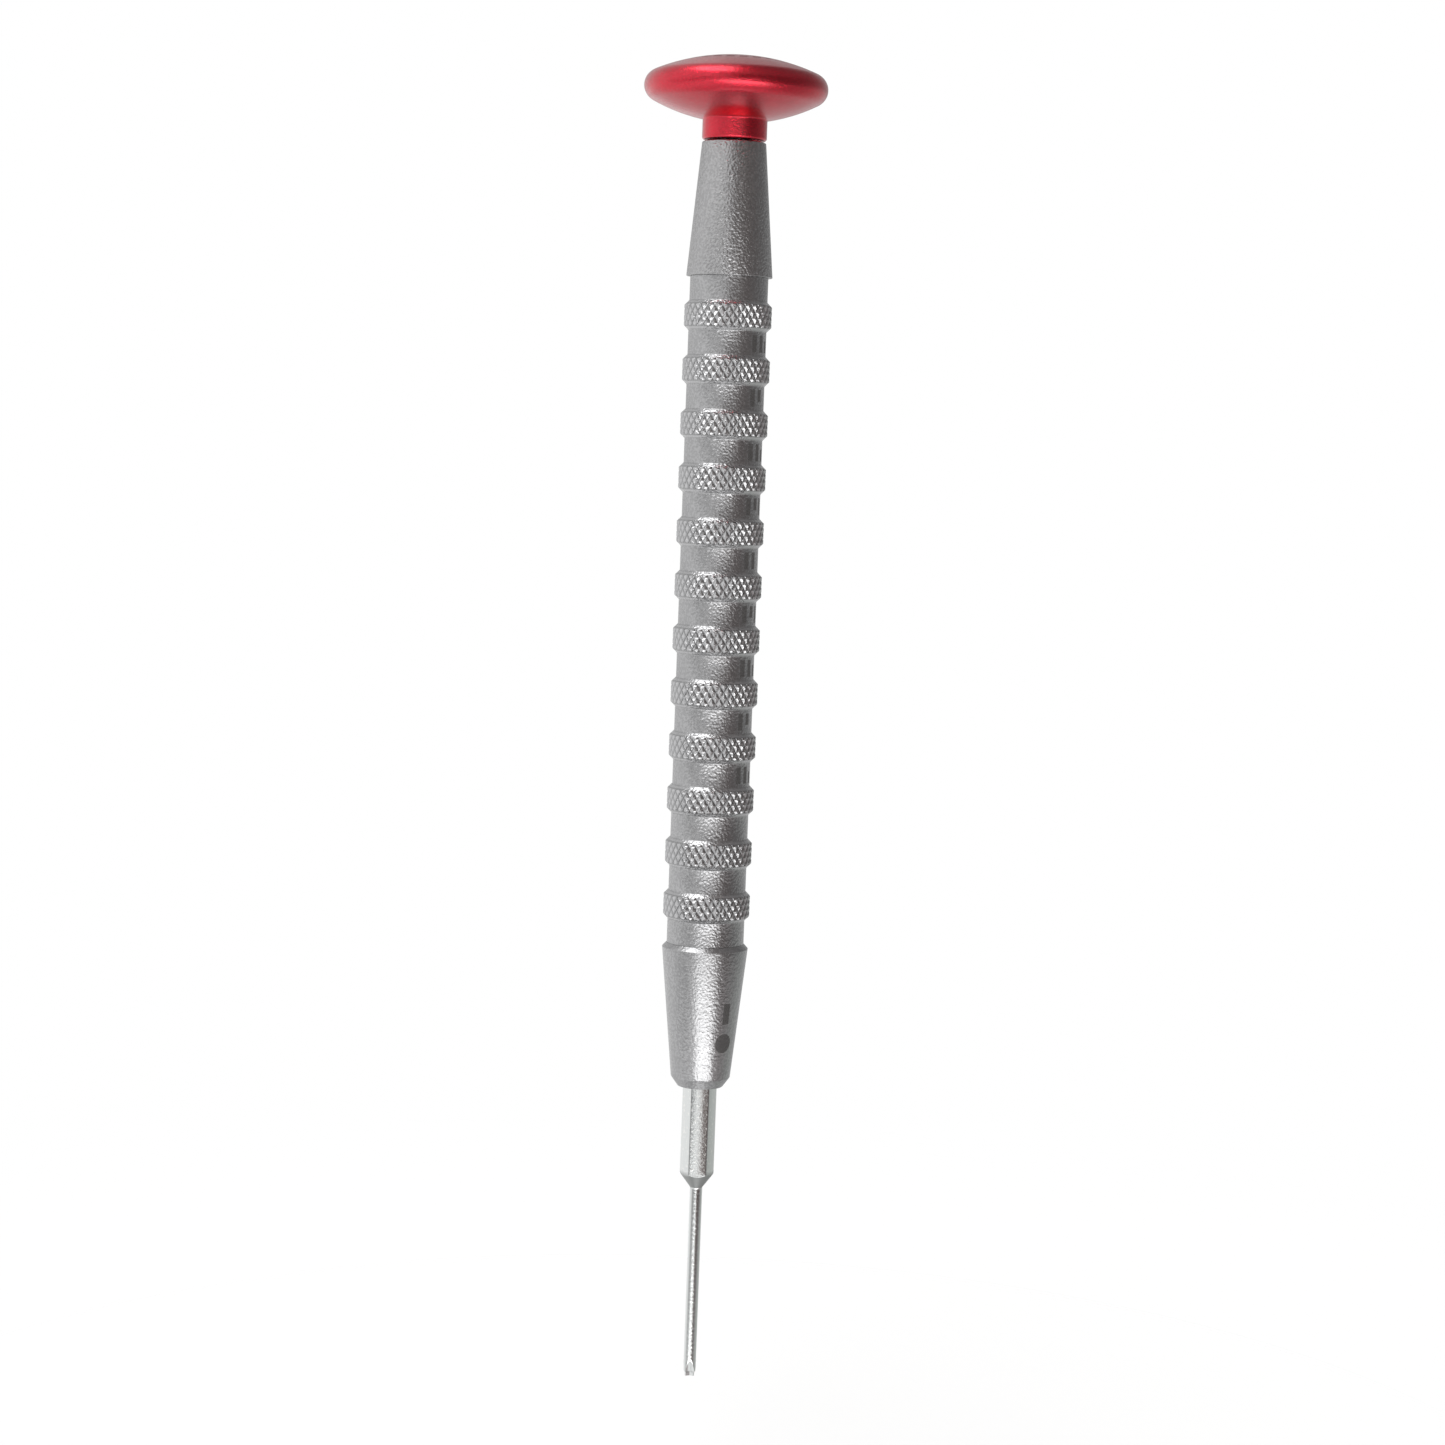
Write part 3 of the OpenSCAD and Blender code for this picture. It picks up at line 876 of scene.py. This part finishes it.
# Finger cap. Aluminium alloy turned as one piece, a shallow lens on a short neck that is bored for the
# bearing. Bead blasted, then anodised and dyed red, with a ring of plain laser dashes on its dome.
neck_z, rim_z, rim_r, cap_r = 139.7, 145.5, 1.73, 10.2
rim_x = cap_r - rim_r


def arc_radius(h):
    """Radius of the arc that rises by h at the axis and runs smoothly into the rim."""
    return (h * h + rim_x ** 2 - rim_r ** 2) / (2 * (h - rim_r))


dome_r, under_r = arc_radius(3.5), arc_radius(3.8)
dome_mid, under_mid = rim_z + 3.5 - dome_r, rim_z - 3.8 + under_r
low_a, top_a = atan2(rim_z - under_mid, rim_x), atan2(rim_z - dome_mid, rim_x)
neck_join = under_mid - sqrt(under_r ** 2 - 3.6 ** 2)
cap_rows = eased([(3.02, neck_z), (3.6, neck_z, 0.32), (3.6, neck_join - 0.16)], 6)
cap_rows += [(3.6 + 0.16 * (1 - cos(t)), neck_join - 0.16 + 0.2 * sin(t)) for t in (0.35, 0.75, 1.1)]
start = atan2(3.85, sqrt(under_r ** 2 - 3.85 ** 2))
end = atan2(rim_x + rim_r * cos(low_a), under_mid - (rim_z + rim_r * sin(low_a)))
for i in range(25):
    t = start + (end - start) * i / 24
    cap_rows.append((under_r * sin(t), under_mid - under_r * cos(t)))
for i in range(1, 30):
    t = low_a + (top_a - low_a) * i / 30
    cap_rows.append((rim_x + rim_r * cos(t), rim_z + rim_r * sin(t)))
over = atan2(rim_x + rim_r * cos(top_a), rim_z + rim_r * sin(top_a) - dome_mid)
for i in range(30):
    t = over * (1 - i / 30)
    cap_rows.append((dome_r * sin(t), dome_mid + dome_r * cos(t)))
cap_rows += [(0, 148.9996)]
cap_inside = eased([(3.02, neck_z), (3.0, neck_z + 0.05), (3.0, bearing_high), (2.4, bearing_high),
                    (2.4, bearing_high + 1.7, 0.2), (0, bearing_high + 1.7)])
cap = skin("finger_cap_anodised", cap_inside[::-1] + cap_rows[1:], even(192))

red_anodise, tree, shader, place, split = metal("red anodising", (0.62, 0.012, 0.035), 0.36,
                                                Coat_Weight=0.6, Coat_Roughness=0.2, Coat_IOR=1.6)
grain = use_group(tree, blast_grain, Place=place, Grain=6500.0, Depth=0.000035, Strength=1.0)
tone = blend_colour(tree, grain["Speckle"], (0.58, 0.009, 0.028, 1), (0.7, 0.016, 0.042, 1))
tone = blend_colour(tree, sums(tree, "MULTIPLY", grain["Cloud"], 0.2), tone, (0.5, 0.01, 0.03, 1))
angle = sums(tree, "ARCTAN2", split[1], split[0])
dashes, dash_ring_r, dash_width, dome_low = 24, 5.6, 0.7, 146.5
off_ring = sums(tree, "ABSOLUTE", sums(tree, "SUBTRACT", distance_out(tree, split), dash_ring_r * mm))
in_ring = sums(tree, "LESS_THAN", off_ring, dash_width / 2 * mm)
dash = sums(tree, "LESS_THAN", sums(tree, "FRACT", sums(tree, "MULTIPLY", angle, dashes / (2 * pi))), 0.62)
marked = sums(tree, "MULTIPLY", sums(tree, "MULTIPLY", in_ring, dash),
              sums(tree, "GREATER_THAN", split[2], dome_low * mm))
tone = blend_colour(tree, sums(tree, "MULTIPLY", marked, 0.85), tone, (0.09, 0.04, 0.04, 1))
tree.links.new(tone, shader.inputs["Base Color"])
bare = sums(tree, "SUBTRACT", 1.0, sums(tree, "MULTIPLY", marked, 0.8))
tree.links.new(bare, shader.inputs["Metallic"])
coat = sums(tree, "SUBTRACT", 0.6, sums(tree, "MULTIPLY", marked, 0.6))
tree.links.new(coat, shader.inputs["Coat Weight"])
rough = spread(tree, grain["Cloud"], 0, 1, 0.19, 0.24)
tree.links.new(sums(tree, "ADD", rough, sums(tree, "MULTIPLY", marked, 0.3)), shader.inputs["Roughness"])
tree.links.new(grain["Normal"], shader.inputs["Normal"])
cap.data.materials.append(red_anodise)
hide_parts("finger_cap")
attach(cap, "cap")


# The stand-in studio. A pale floor, just below the tip when the blade is drawn right out, fades away from
# the tool. The light is soft and comes as rings at different heights, brighter on the left and behind than
# on the right, with one bright panel above on the left and one in front, below the level of the handle.
floor_mesh = bpy.data.meshes.new("floor")
floor_z = -12.2 * mm
rim = [(0.5 * cos(2 * pi * i / 96), 0.5 * sin(2 * pi * i / 96), floor_z) for i in range(96)]
floor_mesh.from_pydata(rim, [], [list(range(96))])
floor = bpy.data.objects.new("floor", floor_mesh)
bpy.context.scene.collection.objects.link(floor)
pale = bpy.data.materials.new("pale floor")
pale.use_nodes = True
tree = pale.node_tree
shader = tree.nodes["Principled BSDF"]
shader.inputs["Base Color"].default_value = (0.9, 0.9, 0.9, 1)
shader.inputs["Roughness"].default_value = 0.8
shader.inputs["Specular IOR Level"].default_value = 0.0
shader.inputs["Emission Color"].default_value = (1, 1, 1, 1)
shader.inputs["Emission Strength"].default_value = 0.3
place = put(tree, "ShaderNodeTexCoord").outputs["Object"]
far = put(tree, "ShaderNodeVectorMath", {0: place}, operation="LENGTH").outputs["Value"]
fade = spread(tree, far, 0.02, 0.2, 0.5, 0.0)
under = put(tree, "ShaderNodeNewGeometry").outputs["Backfacing"]
tree.links.new(sums(tree, "MULTIPLY", fade, sums(tree, "SUBTRACT", 1.0, under)), shader.inputs["Alpha"])
floor_mesh.materials.append(pale)
floor.visible_glossy = False

world = bpy.data.worlds.new("studio")
bpy.context.scene.world = world
world.use_nodes = True
tree = world.node_tree
tree.nodes.clear()
way = put(tree, "ShaderNodeTexCoord").outputs["Generated"]
split = put(tree, "ShaderNodeSeparateXYZ", {0: way}).outputs
around = sums(tree, "ARCTAN2", split[0], sums(tree, "MULTIPLY", split[1], -1.0))
turn = spread(tree, around, -pi, pi)
height = sums(tree, "ARCSINE", split[2])


def ring_of_light(stops):
    """Light at each angle around the tool: 0 is in front of it and 90 is to its right. A stop is an angle
    with a brightness, or with a colour where the light is a little warm."""
    ramp = put(tree, "ShaderNodeValToRGB", {0: turn})
    while len(ramp.color_ramp.elements) < len(stops):
        ramp.color_ramp.elements.new(0.5)
    for mark, (at, *colour) in zip(ramp.color_ramp.elements, stops):
        mark.position = (at + 180) / 360
        mark.color = (*(colour if len(colour) == 3 else colour * 3), 1)
    return ramp.outputs[0]


def from_to(value, low, low_full, high_full, high):
    """1 between two angles in degrees, falling to 0 outside them."""
    rise = spread(tree, value, radians(low), radians(low_full))
    return sums(tree, "MULTIPLY", rise, spread(tree, value, radians(high_full), radians(high), 1.0, 0.0))


ceiling_light = ring_of_light([
    (-180, 0.65), (-135, 0.65), (-112, 0.75), (-90, 1.0), (-40, 1.0), (-12, 0.6), (12, 0.5, 0.48, 0.47),
    (34, 0.36, 0.33, 0.32), (75, 0.28, 0.26, 0.26), (150, 0.2), (172, 0.45)])
upper_light = ring_of_light([
    (-180, 0.5), (-150, 0.7), (-100, 1.0), (-22, 1.05), (-8, 0.5, 0.48, 0.48), (5, 0.18, 0.16, 0.155),
    (60, 0.18, 0.165, 0.16), (90, 0.2, 0.19, 0.19), (130, 0.24), (160, 0.4)])
level_light = ring_of_light([
    (-180, 0.55), (-150, 0.8), (-100, 1.0), (-70, 1.0), (-50, 0.6), (-20, 0.34, 0.33, 0.33),
    (8, 0.26, 0.24, 0.235), (60, 0.2, 0.175, 0.17), (90, 0.24, 0.23, 0.23), (120, 0.27), (150, 0.4)])
shank_light = ring_of_light([
    (-180, 0.85), (-140, 1.0), (-100, 1.0), (-78, 0.6), (-55, 0.22), (-8, 0.26), (-3, 0.95), (3, 0.9),
    (7, 0.18, 0.13, 0.12), (12, 0.1, 0.07, 0.06), (34, 0.11, 0.08, 0.075), (62, 0.13, 0.11, 0.11),
    (92, 0.3), (118, 0.5, 0.52, 0.5), (150, 0.6)])
groove_light = ring_of_light([
    (-180, 0.7), (-140, 0.9), (-100, 1.0), (-50, 0.92), (-28, 0.95), (-18, 1.15), (20, 1.1),
    (34, 0.55, 0.52, 0.51), (48, 0.2, 0.17, 0.165), (60, 0.15, 0.13, 0.13), (90, 0.2), (118, 0.4),
    (150, 0.55)])
skirt_light = ring_of_light([
    (-180, 0.85), (-140, 1.0), (-109, 0.98), (-86, 0.68), (-67, 0.42), (-50, 0.6), (-32, 1.1), (-14, 1.5),
    (-2, 1.15), (12, 0.4, 0.36, 0.35), (28, 0.14, 0.12, 0.115), (50, 0.18, 0.17, 0.17),
    (80, 0.42, 0.42, 0.41), (118, 0.5, 0.52, 0.5), (150, 0.6)])
low_light = ring_of_light([
    (-180, 0.6), (-150, 0.8), (-100, 0.98), (-40, 1.0), (-22, 0.7, 0.7, 0.71), (12, 0.6, 0.6, 0.61),
    (26, 0.62, 0.58, 0.57), (60, 0.5, 0.46, 0.46), (88, 0.42, 0.4, 0.4), (118, 0.48, 0.5, 0.48),
    (150, 0.55)])
light = low_light
for ring, start, full in ((skirt_light, -19, -16), (shank_light, -13.6, -12.6), (groove_light, -10, -7),
                          (level_light, -3, 2), (upper_light, 6, 12), (ceiling_light, 22, 34)):
    light = blend_colour(tree, spread(tree, height, radians(start), radians(full)), light, ring)
tilt = spread(tree, around, radians(-130), radians(-60), radians(-24), 0.0)
top_panel = sums(tree, "MULTIPLY", from_to(around, -130, -105, -26, 2),
                 from_to(sums(tree, "ADD", height, tilt), 44, 51, 92, 93))
fall = spread(tree, height, radians(60), radians(70))
top_glow = blend_colour(tree, fall, (3.8, 3.8, 3.8, 1), (2.6, 2.6, 2.6, 1))
light = blend_colour(tree, top_panel, light, top_glow)
slant = spread(tree, height, radians(-28), radians(-12), radians(10), radians(-18))
front_panel = sums(tree, "MULTIPLY", from_to(sums(tree, "SUBTRACT", around, slant), -30, -25, 26, 42),
                   from_to(height, -62, -55, -19, -16))
rise = spread(tree, height, radians(-44), radians(-27))
front_glow = blend_colour(tree, rise, (1.0, 1.0, 1.0, 1), (3.3, 3.3, 3.3, 1))
light = blend_colour(tree, front_panel, light, front_glow)
light = blend_colour(tree, spread(tree, height, radians(-50), radians(-66)), light, (0.66, 0.66, 0.66, 1))
light = blend_colour(tree, spread(tree, height, radians(-75), radians(-80)), light, (1.2, 1.2, 1.2, 1))
seen = put(tree, "ShaderNodeLightPath").outputs["Is Camera Ray"]
lit = put(tree, "ShaderNodeBackground", {0: light, 1: 1.0})
white = put(tree, "ShaderNodeBackground", {0: (1, 1, 1, 1), 1: 1.0})
choose = put(tree, "ShaderNodeMixShader", {0: seen, 1: lit.outputs[0], 2: white.outputs[0]})
put(tree, "ShaderNodeOutputWorld", {0: choose.outputs[0]})
bpy.context.scene.view_settings.view_transform = "Standard"

camera_data = bpy.data.cameras.new("camera")
camera_data.lens = 79.72
camera_data.sensor_width = 36
camera_data.clip_start = 0.01
camera = bpy.data.objects.new("camera", camera_data)
bpy.context.scene.collection.objects.link(camera)
swing, lift, lean, distance = radians(2.8), radians(4.7), radians(2.106), 0.36
out = Vector((-sin(swing) * cos(lift), -cos(swing) * cos(lift), sin(lift)))
side = Vector((cos(swing), -sin(swing), 0))
aim = Vector((0, 0, 0.075)) + side * 0.00106
camera.matrix_world = (Matrix.Translation(aim + out * distance)
                       @ (-out).to_track_quat("-Z", "Y").to_matrix().to_4x4()
                       @ Matrix.Rotation(lean, 4, "Z"))
bpy.context.scene.camera = camera
